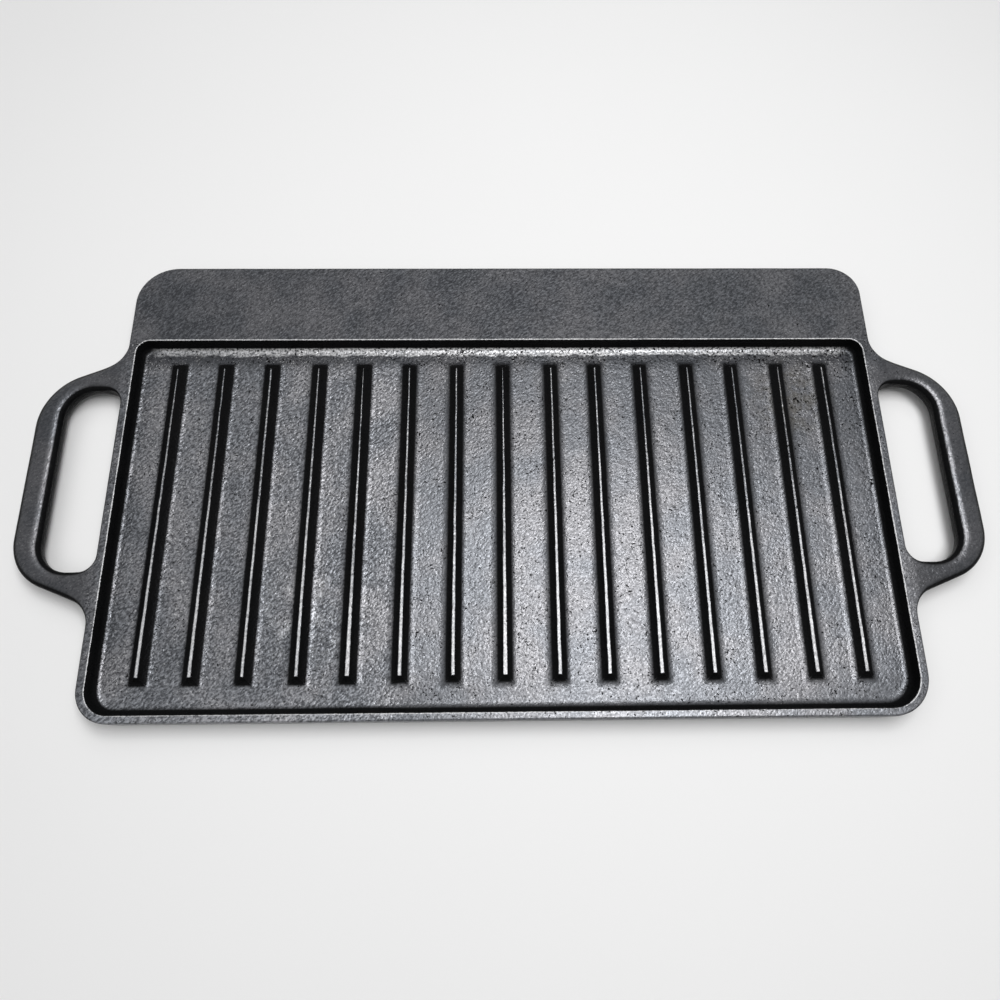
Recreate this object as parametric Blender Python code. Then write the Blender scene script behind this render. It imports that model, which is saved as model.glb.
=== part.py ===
"""Reversible cast-iron griddle, ribbed side up.

X runs along the griddle from handle to handle, Y from the front rim to the back ledge,
and Z up from the plane that it rests on. The origin is below the middle.
The griddle is one casting. It is modelled as a cast body with ribs and handles, and
the body is parted along narrow seams into its named features. Sizes are in metres.
"""
from math import cos, pi, radians, sin, tan

import bmesh
import bpy
from mathutils import Matrix

# Outline of the cast body
PLATE_WIDTH = 0.4176
PLATE_DEPTH = 0.2540
FRONT_CORNER_RADIUS = 0.0140
BACK_CORNER_RADIUS = 0.0170
OUTER_EDGE_ROUNDING = 0.0012

# Heights, from the resting plane up
LIP_HEIGHT = 0.0022
FLOOR_THICKNESS = 0.0053
RECESS_DEPTH = 0.0080
LEDGE_THICKNESS = 0.0055

# Ribbed side: the recess inside the rim
SIDE_RIM_WIDTH = 0.0046
FRONT_RIM_WIDTH = 0.0040
LEDGE_DEPTH = 0.0475
RECESS_BACK_RADIUS = 0.0045
RECESS_DRAFT = radians(8)
RECESS_FILLET = 0.0024

# Smooth side: the griddle face inside its lip, and the grease trough behind it
LIP_WIDTH = 0.0048
TROUGH_OUTER_WALL = 0.0044
TROUGH_FRONT_WALL = 0.0045
TROUGH_DRAFT = radians(5)
TROUGH_FILLET = 0.0020

# Grill ribs
RIB_COUNT = 15
RIB_HEIGHT = 0.0036
RIB_BASE_WIDTH = 0.0098
RIB_CREST_WIDTH = 0.0019
RIB_CREST_ROUNDING = 0.0003
RIB_END_SLOPE = 0.0040
RIB_FRONT_SPACE = 0.0176
RIB_BACK_SPACE = 0.0150
RIB_SIDE_SPACE = 0.0222

# Loop handles
HANDLE_REACH = 0.0443
HANDLE_THICKNESS = 0.0120
HANDLE_BAR_WIDTH = 0.0128
HANDLE_LIMB_WIDTH = 0.0124
HANDLE_EDGE_ROUNDING = 0.0036
HANDLE_SHOULDER_RADIUS = 0.0300
HANDLE_LIMB_SLOPE = radians(22)
HANDLE_ROOT_RADIUS = 0.0140
OPENING_LENGTH = 0.1024
OPENING_OUTER_RADIUS = 0.0150
OPENING_INNER_RADIUS = 0.0085

# Seam between neighbouring features, and the flat left between it and a fillet
SEAM = 0.0003
SEAM_LAND = 0.0010

# Colour and roughness of the seasoned iron
FLOOR_IRON = ((0.060, 0.063, 0.068, 1.0), 0.52)
LEDGE_IRON = ((0.042, 0.044, 0.047, 1.0), 0.58)
RIM_IRON = ((0.075, 0.077, 0.080, 1.0), 0.50)
RIB_IRON = ((0.120, 0.122, 0.125, 1.0), 0.42)
HANDLE_IRON = ((0.030, 0.030, 0.033, 1.0), 0.45)
IRON_METALLIC = 0.35

# How finely round corners, fillets and the handles' edges are divided
CORNER_STEPS = 8
FILLET_STEPS = 4
HANDLE_EDGE_STEPS = 3
RIB_CREST_STEPS = 2
SMOOTH_ANGLE = radians(35)

# Sizes that follow from the ones above
HALF_WIDTH = PLATE_WIDTH / 2
HALF_DEPTH = PLATE_DEPTH / 2
FLOOR_TOP = LIP_HEIGHT + FLOOR_THICKNESS
RIM_TOP = FLOOR_TOP + RECESS_DEPTH
LEDGE_UNDERSIDE = RIM_TOP - LEDGE_THICKNESS
RECESS_HALF_WIDTH = HALF_WIDTH - SIDE_RIM_WIDTH
RECESS_FRONT = FRONT_RIM_WIDTH - HALF_DEPTH
RECESS_BACK = HALF_DEPTH - LEDGE_DEPTH
RECESS_FRONT_RADIUS = FRONT_CORNER_RADIUS - SIDE_RIM_WIDTH
RECESS_FOOT = RECESS_DEPTH * tan(RECESS_DRAFT) + RECESS_FILLET + SEAM_LAND
FLOOR_HALF_WIDTH = RECESS_HALF_WIDTH - RECESS_FOOT
FLOOR_FRONT = RECESS_FRONT + RECESS_FOOT
FLOOR_BACK = RECESS_BACK - RECESS_FOOT
FLOOR_CORNER_RADIUS = RECESS_FRONT_RADIUS - RECESS_FILLET - SEAM_LAND
CORNER_START = HALF_WIDTH - FRONT_CORNER_RADIUS
CORNER_END = FRONT_CORNER_RADIUS - HALF_DEPTH
TROUGH_FRONT = RECESS_BACK + TROUGH_FRONT_WALL
TROUGH_BACK = HALF_DEPTH - TROUGH_OUTER_WALL
TROUGH_FOOT = LEDGE_UNDERSIDE * tan(TROUGH_DRAFT) + TROUGH_FILLET + SEAM_LAND
LEDGE_FRONT = TROUGH_FRONT + TROUGH_FOOT
OPENING_WIDTH = HANDLE_REACH - HANDLE_BAR_WIDTH

# How far a cutter runs past what it cuts
MARGIN = 0.0050

# Closer points than this are one point
WELD_DISTANCE = 0.00001

# Most of the handle's thickness that the rounding of one edge may take
ROUNDING_SHARE = 0.45


def clear_scene():
    for old in list(bpy.data.objects):
        bpy.data.objects.remove(old, do_unlink=True)


def new_collection(name):
    collection = bpy.data.collections.new(name)
    bpy.context.scene.collection.children.link(collection)
    return collection


def iron(name, look):
    colour, roughness = look
    material = bpy.data.materials.new(name)
    material.use_nodes = True
    shader = material.node_tree.nodes["Principled BSDF"]
    shader.inputs["Base Color"].default_value = colour
    shader.inputs["Roughness"].default_value = roughness
    shader.inputs["Metallic"].default_value = IRON_METALLIC
    return material


def add_object(name, mesh, collection):
    made = bpy.data.objects.new(name, mesh)
    collection.objects.link(made)
    return made


def mesh_from(name, bm):
    bmesh.ops.recalc_face_normals(bm, faces=bm.faces)
    mesh = bpy.data.meshes.new(name)
    bm.to_mesh(mesh)
    bm.free()
    return mesh


def evaluated_mesh(source, name):
    """The mesh that an object has once its modifiers have worked."""
    view = bpy.context.evaluated_depsgraph_get()
    mesh = bpy.data.meshes.new_from_object(source.evaluated_get(view))
    mesh.name = name
    return mesh


def arc(centre_x, centre_y, radius, start, end):
    """Points along an arc from one angle to another, both ends included."""
    if radius <= 0:
        return [(centre_x, centre_y)]
    turn = (end - start) / CORNER_STEPS
    angles = [start + turn * step for step in range(CORNER_STEPS + 1)]
    return [(centre_x + radius * cos(a), centre_y + radius * sin(a)) for a in angles]


def rounded_rectangle(half_width, front, back, front_radius, back_radius, grow=0.0):
    """Outline across the middle of X, with a radius at the front and one at the back."""
    right = half_width + grow
    front = front - grow
    back = back + grow
    near = max(front_radius + grow, 0) if front_radius else 0
    far = max(back_radius + grow, 0) if back_radius else 0
    points = arc(right - near, front + near, near, -pi / 2, 0)
    points += arc(right - far, back - far, far, 0, pi / 2)
    points += arc(far - right, back - far, far, pi / 2, pi)
    points += arc(near - right, front + near, near, pi, 3 * pi / 2)
    return points


def block(name, outline, start, end, collection, inset=0.0, rounding=0.0, round_start=False):
    """Solid of an outline that lies at height start and is drawn to height end.

    It is narrowed by the inset towards its end, whose edge is rounded.
    """
    bm = bmesh.new()
    face = bm.faces.new([bm.verts.new((x, y, start)) for x, y in outline])
    grown = bmesh.ops.extrude_face_region(bm, geom=[face])["geom"]
    end_points = [part for part in grown if isinstance(part, bmesh.types.BMVert)]
    bmesh.ops.translate(bm, vec=(0, 0, end - start), verts=end_points)
    xs = [x for x, y in outline]
    ys = [y for x, y in outline]
    narrowing = (1 - 2 * inset / (max(xs) - min(xs)), 1 - 2 * inset / (max(ys) - min(ys)), 1)
    middle = Matrix.Translation((-(max(xs) + min(xs)) / 2, -(max(ys) + min(ys)) / 2, 0))
    bmesh.ops.scale(bm, vec=narrowing, space=middle, verts=end_points)
    if rounding:
        ends = set(end_points)
        edges = [edge for edge in bm.edges
                 if set(edge.verts) <= ends or (round_start and not set(edge.verts) & ends)]
        bmesh.ops.bevel(bm, geom=edges, offset=rounding, segments=FILLET_STEPS,
                        affect="EDGES", clamp_overlap=True)
    return add_object(name, mesh_from(name, bm), collection)


def region(name, collection, left, right, front, back, low=-MARGIN, high=RIM_TOP + MARGIN):
    """Plain box that takes one feature out of the cast body."""
    bm = bmesh.new()
    bmesh.ops.create_cube(bm, size=1)
    bmesh.ops.scale(bm, vec=(right - left, back - front, high - low), verts=bm.verts)
    middle = ((left + right) / 2, (front + back) / 2, (low + high) / 2)
    bmesh.ops.translate(bm, vec=middle, verts=bm.verts)
    return add_object(name, mesh_from(name, bm), collection)


def pocket(name, half_width, front, back, radii, surface, bottom, draft, fillet, collection):
    """Cutter of a drafted pocket, measured where it opens in the surface."""
    past = MARGIN if surface > bottom else -MARGIN
    grow = MARGIN * tan(draft)
    outline = rounded_rectangle(half_width, front, back, *radii, grow=grow)
    inset = grow + abs(surface - bottom) * tan(draft)
    return block(name, outline, surface + past, bottom, collection,
                 inset=inset, rounding=fillet)


def boolean(target, tool, operation):
    modifier = target.modifiers.new(operation.lower(), "BOOLEAN")
    modifier.solver = "EXACT"
    modifier.operation = operation
    modifier.object = tool
    tool.hide_render = True
    tool.display_type = "WIRE"


def finish(part, material, parent):
    part.data.materials.clear()
    part.data.materials.append(material)
    part.data.shade_smooth()
    part.data.set_sharp_from_angle(angle=SMOOTH_ANGLE)
    part.parent = parent


def cast_body(cutters):
    """The body without ribs and handles: an outline with a pocket in each face."""
    outline = rounded_rectangle(HALF_WIDTH, -HALF_DEPTH, HALF_DEPTH,
                                FRONT_CORNER_RADIUS, BACK_CORNER_RADIUS)
    body = block("cast_body", outline, 0, RIM_TOP, cutters,
                 rounding=OUTER_EDGE_ROUNDING, round_start=True)
    recess = pocket("recess", RECESS_HALF_WIDTH, RECESS_FRONT, RECESS_BACK,
                    (RECESS_FRONT_RADIUS, RECESS_BACK_RADIUS),
                    RIM_TOP, FLOOR_TOP, RECESS_DRAFT, RECESS_FILLET, cutters)
    boolean(body, recess, "DIFFERENCE")
    trough_radius = BACK_CORNER_RADIUS - TROUGH_OUTER_WALL
    trough = pocket("grease_trough", HALF_WIDTH - TROUGH_OUTER_WALL, TROUGH_FRONT, TROUGH_BACK,
                    (RECESS_BACK_RADIUS, trough_radius),
                    0, LEDGE_UNDERSIDE, TROUGH_DRAFT, TROUGH_FILLET, cutters)
    boolean(body, trough, "DIFFERENCE")
    face = pocket("griddle_face", HALF_WIDTH - LIP_WIDTH, LIP_WIDTH - HALF_DEPTH,
                  LEDGE_FRONT, (FRONT_CORNER_RADIUS - LIP_WIDTH, 0),
                  0, LIP_HEIGHT, TROUGH_DRAFT, 0, cutters)
    boolean(body, face, "DIFFERENCE")
    mesh = evaluated_mesh(body, "cast_body")
    body.modifiers.clear()
    body.data = mesh
    body.hide_render = True
    body.display_type = "WIRE"
    return body


def part_of(body, name, parts, keep, remove=None):
    """One feature: the cast body inside the keep region and outside the other one."""
    feature = add_object(name, body.data.copy(), parts)
    boolean(feature, keep, "INTERSECT")
    if remove:
        boolean(feature, remove, "DIFFERENCE")
    mesh = evaluated_mesh(feature, name)
    feature.modifiers.clear()
    feature.data = mesh
    return feature


def plate_block(name, cutters, grow=0.0):
    """Upright block over the flat floor, which the ribs stand on."""
    outline = rounded_rectangle(FLOOR_HALF_WIDTH, FLOOR_FRONT, FLOOR_BACK,
                                FLOOR_CORNER_RADIUS, 0, grow=grow)
    return block(name, outline, -MARGIN, RIM_TOP + MARGIN, cutters)


def make_griddle_plate(body, parts, cutters):
    return part_of(body, "griddle_plate", parts, plate_block("plate_region", cutters))


def make_front_rim(body, parts, cutters, plate_space):
    """The straight front rim and the two corners that lead to the side rims."""
    front = -HALF_DEPTH - MARGIN
    reach = CORNER_START - SEAM / 2
    keep = region("front_region", cutters, -reach, reach, front, CORNER_END)
    pieces = [part_of(body, "front_rim", parts, keep, plate_space)]
    for name, side in (("left_front_corner", -1), ("right_front_corner", 1)):
        ends = sorted((side * (CORNER_START + SEAM / 2), side * (HALF_WIDTH + MARGIN)))
        keep = region(name + "_region", cutters, *ends, front, CORNER_END - SEAM / 2)
        pieces.append(part_of(body, name, parts, keep, plate_space))
    return pieces


def make_side_rims(body, parts, cutters):
    """The rims beside the recess, as far back as the wall behind it."""
    pieces = []
    for name, side in (("left_rim", -1), ("right_rim", 1)):
        ends = sorted((side * (FLOOR_HALF_WIDTH + SEAM), side * (HALF_WIDTH + MARGIN)))
        keep = region(name + "_region", cutters, *ends, CORNER_END + SEAM / 2, LEDGE_FRONT)
        pieces.append(part_of(body, name, parts, keep))
    return pieces


def make_back_wall(body, parts, cutters):
    """Wall between the recess and the trough, and the front strip of the ledge."""
    keep = region("back_wall_region", cutters, -FLOOR_HALF_WIDTH, FLOOR_HALF_WIDTH,
                  FLOOR_BACK + SEAM, LEDGE_FRONT)
    return part_of(body, "back_wall", parts, keep)


def make_back_ledge(body, parts, cutters):
    reach = HALF_WIDTH + MARGIN
    keep = region("ledge_region", cutters, -reach, reach,
                  LEDGE_FRONT + SEAM, HALF_DEPTH + MARGIN, low=LEDGE_UNDERSIDE + SEAM / 2)
    return part_of(body, "back_ledge", parts, keep)


def make_trough_wall(body, parts, cutters):
    reach = HALF_WIDTH + MARGIN
    keep = region("wall_region", cutters, -reach, reach,
                  LEDGE_FRONT + SEAM, HALF_DEPTH + MARGIN, high=LEDGE_UNDERSIDE - SEAM / 2)
    return part_of(body, "trough_wall", parts, keep)


def rib_mesh():
    """A long ridge: sloping sides and ends below a narrow, slightly rounded crest."""
    crest_length = RECESS_BACK - RIB_BACK_SPACE - RECESS_FRONT - RIB_FRONT_SPACE
    base_length = crest_length + 2 * RIB_END_SLOPE
    bm = bmesh.new()
    bmesh.ops.create_cube(bm, size=1)
    bmesh.ops.scale(bm, vec=(RIB_BASE_WIDTH, base_length, RIB_HEIGHT - SEAM), verts=bm.verts)
    crest = [point for point in bm.verts if point.co.z > 0]
    narrowing = (RIB_CREST_WIDTH / RIB_BASE_WIDTH, crest_length / base_length, 1)
    bmesh.ops.scale(bm, vec=narrowing, verts=crest)
    edges = [edge for edge in bm.edges if set(edge.verts) <= set(crest)]
    bmesh.ops.bevel(bm, geom=edges, offset=RIB_CREST_ROUNDING, segments=RIB_CREST_STEPS,
                    affect="EDGES", clamp_overlap=True)
    return mesh_from("rib", bm)


def make_ribs(parts):
    """Equal ribs, all of one mesh, spread evenly between the side rims."""
    reach = RECESS_HALF_WIDTH - RIB_SIDE_SPACE
    pitch = 2 * reach / (RIB_COUNT - 1)
    middle_y = (RECESS_FRONT + RIB_FRONT_SPACE + RECESS_BACK - RIB_BACK_SPACE) / 2
    middle_z = FLOOR_TOP + (RIB_HEIGHT + SEAM) / 2
    mesh = rib_mesh()
    ribs = []
    for place in range(RIB_COUNT):
        rib = add_object("rib_%02d" % (place + 1), mesh, parts)
        rib.location = (place * pitch - reach, middle_y, middle_z)
        ribs.append(rib)
    return ribs


def handle_outline():
    """Outer edge of a handle, measured from the plate's side, from front to back.

    A straight bar turns round a shoulder into a sloping limb, and a hollow root
    curve brings the limb out along the plate's side.
    """
    slope = HANDLE_LIMB_SLOPE
    shoulder_x = HANDLE_REACH - HANDLE_SHOULDER_RADIUS
    limb_x = shoulder_x + HANDLE_SHOULDER_RADIUS * sin(slope)
    limb_y = (OPENING_LENGTH / 2 + HANDLE_LIMB_WIDTH
              - (limb_x - OPENING_WIDTH / 2) * tan(slope))
    shoulder_y = limb_y - HANDLE_SHOULDER_RADIUS * cos(slope)
    root_y = limb_y + limb_x * tan(slope) + HANDLE_ROOT_RADIUS * tan((pi / 2 - slope) / 2)
    back = arc(shoulder_x, shoulder_y, HANDLE_SHOULDER_RADIUS, 0, pi / 2 - slope)
    back += arc(HANDLE_ROOT_RADIUS, root_y, HANDLE_ROOT_RADIUS, 3 * pi / 2 - slope, pi)
    back.append((-MARGIN, root_y))
    front = [(x, -y) for x, y in reversed(back)]
    return front + back


def opening_outline():
    """Edge of the hand opening: its inner side is the plate's side itself."""
    half = OPENING_LENGTH / 2
    outer = min(OPENING_OUTER_RADIUS, OPENING_WIDTH - OPENING_INNER_RADIUS)
    inner = OPENING_INNER_RADIUS
    points = arc(OPENING_WIDTH - outer, outer - half, outer, -pi / 2, 0)
    points += arc(OPENING_WIDTH - outer, half - outer, outer, 0, pi / 2)
    points += arc(inner, half - inner, inner, pi / 2, pi)
    points += arc(inner, inner - half, inner, pi, 3 * pi / 2)
    return points


def add_closed_spline(curve, points):
    spline = curve.splines.new("POLY")
    spline.points.add(len(points) - 1)
    for point, (x, y) in zip(spline.points, points):
        point.co = (x, y, 0, 1)
    spline.use_cyclic_u = True


def handle_mesh(cutters):
    """A flat outline with an opening and rounded edges, cut off at the plate's side."""
    rounding = min(HANDLE_EDGE_ROUNDING, ROUNDING_SHARE * HANDLE_THICKNESS)
    curve = bpy.data.curves.new("handle_outline", "CURVE")
    curve.dimensions = "2D"
    curve.fill_mode = "BOTH"
    curve.extrude = HANDLE_THICKNESS / 2 - rounding
    curve.bevel_depth = rounding
    curve.bevel_resolution = HANDLE_EDGE_STEPS
    curve.offset = -rounding
    add_closed_spline(curve, handle_outline())
    add_closed_spline(curve, opening_outline())
    outline = add_object("handle_outline", curve, cutters)
    blank = add_object("handle_blank", evaluated_mesh(outline, "handle_blank"), cutters)
    bpy.data.objects.remove(outline, do_unlink=True)
    bm = bmesh.new()
    bm.from_mesh(blank.data)
    bmesh.ops.remove_doubles(bm, verts=bm.verts, dist=WELD_DISTANCE)
    blank.data = mesh_from("handle_blank", bm)
    plate_side = region("plate_side", cutters, -2 * MARGIN, SEAM, -HALF_DEPTH, HALF_DEPTH,
                        low=-HANDLE_THICKNESS, high=HANDLE_THICKNESS)
    boolean(blank, plate_side, "DIFFERENCE")
    mesh = evaluated_mesh(blank, "handle")
    bpy.data.objects.remove(blank, do_unlink=True)
    return mesh


def make_handles(parts, cutters):
    """Two equal handles: the left one is the right one turned half round."""
    mesh = handle_mesh(cutters)
    handles = []
    for name, side, turn in (("right_handle", 1, 0), ("left_handle", -1, pi)):
        handle = add_object(name, mesh, parts)
        handle.location = (side * HALF_WIDTH, 0, RIM_TOP - HANDLE_THICKNESS / 2)
        handle.rotation_euler = (0, 0, turn)
        handles.append(handle)
    return handles


def build_griddle():
    clear_scene()
    parts = new_collection("reversible_griddle")
    cutters = new_collection("cutters")
    griddle = add_object("griddle", None, parts)
    body = cast_body(cutters)
    floor_iron = iron("seasoned_floor", FLOOR_IRON)
    rim_iron = iron("seasoned_rim", RIM_IRON)
    ledge_iron = iron("seasoned_ledge", LEDGE_IRON)
    rib_iron = iron("worn_ribs", RIB_IRON)
    handle_iron = iron("handle_iron", HANDLE_IRON)
    finish(make_griddle_plate(body, parts, cutters), floor_iron, griddle)
    plate_space = plate_block("plate_space", cutters, grow=SEAM)
    rims = make_front_rim(body, parts, cutters, plate_space)
    rims += make_side_rims(body, parts, cutters)
    for rim in rims:
        finish(rim, rim_iron, griddle)
    finish(make_back_wall(body, parts, cutters), ledge_iron, griddle)
    finish(make_back_ledge(body, parts, cutters), ledge_iron, griddle)
    finish(make_trough_wall(body, parts, cutters), ledge_iron, griddle)
    for rib in make_ribs(parts):
        finish(rib, rib_iron, griddle)
    for handle in make_handles(parts, cutters):
        finish(handle, handle_iron, griddle)


build_griddle()
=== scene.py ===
"""Looks of the reversible cast-iron griddle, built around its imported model.

The casting's visible surface is made of lofted rings: one body with the recess, ledge
and underside, fifteen grill ribs and two loop handles. They share one seasoned-iron
material family that works in the griddle's own coordinates, so it runs on unbroken
from piece to piece. Sizes are in metres.
"""
from math import cos, hypot, pi, radians, sin, tan

import bmesh
import bpy
from mathutils import Euler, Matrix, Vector, noise


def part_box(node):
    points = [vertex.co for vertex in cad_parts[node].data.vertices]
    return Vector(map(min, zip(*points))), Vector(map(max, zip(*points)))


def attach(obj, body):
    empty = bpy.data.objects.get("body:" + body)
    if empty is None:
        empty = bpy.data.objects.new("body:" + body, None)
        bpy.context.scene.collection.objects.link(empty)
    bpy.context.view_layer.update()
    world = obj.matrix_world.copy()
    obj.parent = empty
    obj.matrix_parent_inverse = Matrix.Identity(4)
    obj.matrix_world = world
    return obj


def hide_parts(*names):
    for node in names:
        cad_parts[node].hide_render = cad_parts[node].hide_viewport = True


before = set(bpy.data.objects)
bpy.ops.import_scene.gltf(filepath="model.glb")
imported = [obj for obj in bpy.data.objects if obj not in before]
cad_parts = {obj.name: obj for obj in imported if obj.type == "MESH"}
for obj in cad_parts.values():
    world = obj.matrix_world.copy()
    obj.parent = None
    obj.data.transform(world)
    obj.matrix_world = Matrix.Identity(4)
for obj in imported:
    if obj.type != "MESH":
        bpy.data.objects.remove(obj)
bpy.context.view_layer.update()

# Body sizes, from the frame
HALF_WIDTH = -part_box("left_rim")[0].x
HALF_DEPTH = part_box("back_ledge")[1].y
RIM_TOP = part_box("front_rim")[1].z
FLOOR_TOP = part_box("griddle_plate")[1].z
FACE_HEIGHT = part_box("griddle_plate")[0].z
RECESS_DEPTH = RIM_TOP - FLOOR_TOP

# Body sizes that the frame's boxes don't give
LEDGE_UNDERSIDE = 0.0100
CORNER_RADII = {"front_right": 0.0205, "back_right": 0.0175,
                "back_left": 0.0225, "front_left": 0.0170}
OUTER_EDGE_ROUNDING = 0.0012
SIDE_RIM_WIDTH = 0.0046
FRONT_RIM_WIDTH = 0.0040
LEDGE_DEPTH = 0.0475
RECESS_BACK_RADIUS = 0.0072
RECESS_DRAFT = radians(8)
RECESS_FILLETS = {"front": 0.0054, "sides": 0.0038, "back": 0.0032}
FILLET_CHANGE = 0.0080
RECESS_EDGE_ROUNDING = 0.0005
LIP_WIDTH = 0.0048
TROUGH_OUTER_WALL = 0.0044
TROUGH_FRONT_WALL = 0.0045
TROUGH_DRAFT = radians(5)
TROUGH_FILLET = 0.0020
TROUGH_EDGE_ROUNDING = 0.0004
RECESS_HALF_WIDTH = HALF_WIDTH - SIDE_RIM_WIDTH
RECESS_FRONT = FRONT_RIM_WIDTH - HALF_DEPTH
RECESS_BACK = HALF_DEPTH - LEDGE_DEPTH

# Ribs
RIB_FOOT_GROWTH = 0.0022
RIB_SIDE_ANGLE = radians(46)
RIB_COVE_RADIUS = 0.0072
RIB_SHOULDER_RADIUS = 0.0003
RIB_CREST_BAND = 0.00015
RIB_CREST_SPREAD = 0.6
RIB_SPREAD_CHANGE = 1.0
RIB_SPREAD_SHARPNESS = 8
RIB_CORNER_RADIUS = 0.0006
RIB_SMALLEST_RADIUS = 0.00025
RIB_SINK = 0.0003
RIB_WAVER = 0.00014
RIB_WAVER_LENGTH = 0.009
RIB_WANDER = 0.0011
RIB_WANDER_LENGTH = 0.240
RIB_SHIFTS = {"rib_04": 0.0006, "rib_05": -0.0003, "rib_06": -0.0004, "rib_09": 0.0012,
              "rib_12": 0.0005, "rib_15": -0.0010}
RIB_COUNT = 15

# Handles
HANDLE_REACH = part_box("right_handle")[1].x - HALF_WIDTH
HANDLE_THICKNESS = RIM_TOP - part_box("right_handle")[0].z
HANDLE_BAR_WIDTH = 0.0140
HANDLE_LIMB_WIDTH = 0.0124
HANDLE_FRONT_SHOULDER_RADIUS = 0.0270
HANDLE_BACK_SHOULDER_RADIUS = 0.0325
HANDLE_STAGGER = 0.0012
HANDLE_LIMB_SLOPE = radians(22)
HANDLE_ROOT_RADIUS = 0.0140
OPENING_LENGTH = 0.1020
OPENING_OUTER_RADIUS = 0.0155
OPENING_INNER_RADIUS = 0.0085
HANDLE_OUTER_EDGE_WIDTHS = {"lower": 0.0040, "upper": 0.0052}
HANDLE_INNER_EDGE_WIDTHS = {"lower": 0.0052, "upper": 0.0050}
HANDLE_EDGE_DROPS = {"lower": 0.0088, "upper": 0.0030}
HANDLE_ROUNDING_REACH = 0.0140
HANDLE_ROOT_TUCK = 0.00005

# How finely the surfaces are divided
CORNER_STEPS = 16
LONG_SIDE_STEPS = 130
SHORT_SIDE_STEPS = 64
ROUND_STEPS = 8
RIB_CORNER_STEPS = 4
RIB_POINT_SPACING = 0.0016
HANDLE_BEND_STEPS = 48
HANDLE_ROOT_STEPS = 32
HANDLE_STATIONS = 180
SMALLEST_RADIUS = 0.0002
SMOOTH_ANGLE = radians(40)

# How unevenly a casting's edges run, from one fixed seed
CASTING_WAVER = 0.00010
WAVER_LENGTH = 0.018
WAVER_SEED = 1605
noise.seed_set(WAVER_SEED)

PIECES = bpy.data.collections.new("griddle_looks")
bpy.context.scene.collection.children.link(PIECES)


def limited(value):
    """A number kept between 0 and 1."""
    return min(max(value, 0), 1)


def add_piece(name, bm, material):
    """A finished mesh as a piece of the griddle, with large flats shaded flat."""
    bmesh.ops.recalc_face_normals(bm, faces=bm.faces)
    mesh = bpy.data.meshes.new(name)
    bm.to_mesh(mesh)
    bm.free()
    mesh.shade_smooth()
    mesh.set_sharp_from_angle(angle=SMOOTH_ANGLE)
    mesh.materials.append(material)
    piece = bpy.data.objects.new(name, mesh)
    PIECES.objects.link(piece)
    weighted = piece.modifiers.new("flat_faces_lead", "WEIGHTED_NORMAL")
    weighted.keep_sharp = True
    return piece


def arc(centre_x, centre_y, radius, start, end, steps=CORNER_STEPS):
    """Points on an arc from one angle to another, with both of its ends."""
    angles = [start + (end - start) * step / steps for step in range(steps + 1)]
    return [(centre_x + radius * cos(a), centre_y + radius * sin(a)) for a in angles]


def between(first, last, steps):
    """Points on the straight line between two points, without its ends."""
    return [(first[0] + (last[0] - first[0]) * step / steps,
             first[1] + (last[1] - first[1]) * step / steps) for step in range(1, steps)]


def joined(corners, side_steps):
    """Closed outline of four corner arcs, with two kinds of straight sides by turns."""
    points = []
    for place, corner in enumerate(corners):
        following = corners[(place + 1) % len(corners)]
        points += corner
        points += between(corner[-1], following[0], side_steps[place % 2])
    return points


def rounded_rectangle(half_width, front, back, radii, inset=0.0):
    """Outline with a fixed number of points, so that any two can be joined in order.

    The radii run from the front right corner round by the back to the front left one.
    """
    right = half_width - inset
    front = front + inset
    back = back - inset
    centres = []
    for radius, side, end, inward in zip(radii, (1, 1, -1, -1), (front, back, back, front),
                                         (1, -1, -1, 1)):
        inner = max(radius - inset, SMALLEST_RADIUS)
        centres.append((side * (right - inner), end + inward * inner, inner))
    corners = [arc(*centre, (turns - 1) * pi / 2, turns * pi / 2)
               for turns, centre in enumerate(centres)]
    return joined(corners, (SHORT_SIDE_STEPS, LONG_SIDE_STEPS))


def sleeve(rings, wear):
    """Joins closed rings of 3-D points in order, and gives the mesh and its rows of points.

    Each ring has a wear value, from 0 to 1, kept on its points.
    """
    bm = bmesh.new()
    layer = bm.verts.layers.float.new("wear")
    rows = []
    for ring, worn in zip(rings, wear):
        row = [bm.verts.new(point) for point in ring]
        for point in row:
            point[layer] = worn
        rows.append(row)
    for lower, upper in zip(rows, rows[1:]):
        for here in range(len(lower)):
            after = (here + 1) % len(lower)
            bm.faces.new((lower[here], lower[after], upper[after], upper[here]))
    return bm, rows


def loft(rings, wear):
    """A sleeve closed by one face at its first ring and one at its last."""
    bm, rows = sleeve(rings, wear)
    bm.faces.new(reversed(rows[0]))
    bm.faces.new(rows[-1])
    return bm


def quarter():
    """The stages of a rounding, as angles from 0 to a quarter turn."""
    return [pi / 2 * step / ROUND_STEPS for step in range(ROUND_STEPS + 1)]


def recess_profile(fillet):
    """From the floor up one side of the recess: inset and height, with wear."""
    slope = tan(RECESS_DRAFT)
    turn = pi / 2 - RECESS_DRAFT
    foot = (fillet * cos(RECESS_DRAFT)
            + (RECESS_DEPTH - fillet + fillet * sin(RECESS_DRAFT)) * slope)
    profile = []
    for step in range(ROUND_STEPS + 1):
        angle = turn * step / ROUND_STEPS
        profile.append((foot - fillet * sin(angle), FLOOR_TOP + fillet * (1 - cos(angle)), 0.0))
    edge = RECESS_EDGE_ROUNDING
    crown = edge * (cos(RECESS_DRAFT) - (1 - sin(RECESS_DRAFT)) * slope)
    for step in range(ROUND_STEPS + 1):
        angle = RECESS_DRAFT + turn * step / ROUND_STEPS
        profile.append((edge * cos(angle) - crown,
                        RIM_TOP - edge * (1 - sin(angle)), sin(angle)))
    profile.append((-crown - edge, RIM_TOP, 0.0))
    return profile


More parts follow.
